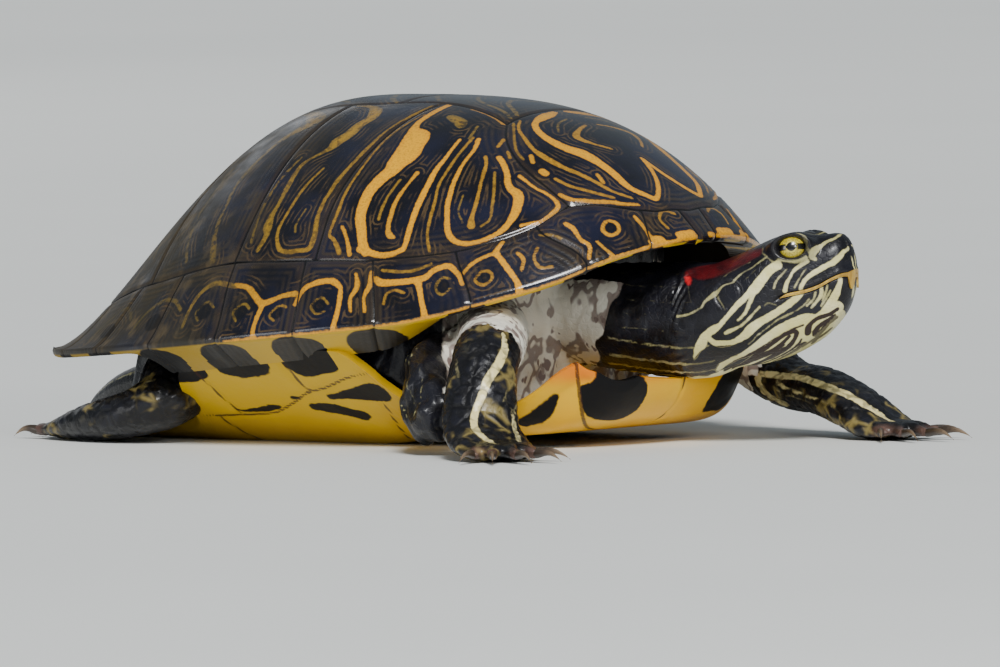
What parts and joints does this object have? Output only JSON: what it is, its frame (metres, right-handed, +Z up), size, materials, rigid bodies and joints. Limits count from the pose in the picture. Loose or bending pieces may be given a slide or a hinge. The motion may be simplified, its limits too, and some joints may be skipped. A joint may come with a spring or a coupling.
{
  "type": "red-eared slider turtle",
  "caption": "Life-size red-eared slider turtle, resting on its plastron with head raised and one forelimb stretched out.",
  "frame": {"origin": "on the floor, under the middle of the whole animal's bounding box", "axes": "+X towards the front of the shell, +Y towards the turtle's left, +Z up"},
  "size_m": [0.3284, 0.2182, 0.1086],
  "materials": {
    "shell_scute": "wet keratin scutes, blue-black with thin yellow lines",
    "plastron_scute": "smooth yellow-orange keratin with dark blotches",
    "skin": "dark scaled skin with cream-yellow stripes",
    "beak_horn": "ochre horn of the jaws",
    "eye": "clear wet eye with yellow-green iris and dark bar",
    "claw_horn": "dark brown horn, paler at the tip"
  },
  "bodies": {
    "root": {"carapace": "shell_scute", "plastron": "plastron_scute", "head": "skin", "lower_jaw": "beak_horn", "eye_left": "eye", "eye_right": "eye", "neck": "skin", "tail": "skin", "trunk": "skin", "upper_arm_right": "skin", "forearm_right": "skin", "forefoot_right": "skin", "upper_arm_left": "skin", "forearm_left": "skin", "forefoot_left": "skin", "thigh_right": "skin", "shank_right": "skin", "hindfoot_right": "skin", "thigh_left": "skin", "shank_left": "skin", "hindfoot_left": "skin", "forelimb_right_claw_1": "claw_horn", "forelimb_right_claw_2": "claw_horn", "forelimb_right_claw_3": "claw_horn", "forelimb_right_claw_4": "claw_horn", "forelimb_right_claw_5": "claw_horn", "forelimb_left_claw_1": "claw_horn", "forelimb_left_claw_2": "claw_horn", "forelimb_left_claw_3": "claw_horn", "forelimb_left_claw_4": "claw_horn", "forelimb_left_claw_5": "claw_horn", "hindlimb_right_claw_1": "claw_horn", "hindlimb_right_claw_2": "claw_horn", "hindlimb_right_claw_3": "claw_horn", "hindlimb_right_claw_4": "claw_horn", "hindlimb_left_claw_1": "claw_horn", "hindlimb_left_claw_2": "claw_horn", "hindlimb_left_claw_3": "claw_horn", "hindlimb_left_claw_4": "claw_horn"}
  },
  "joints": []
}
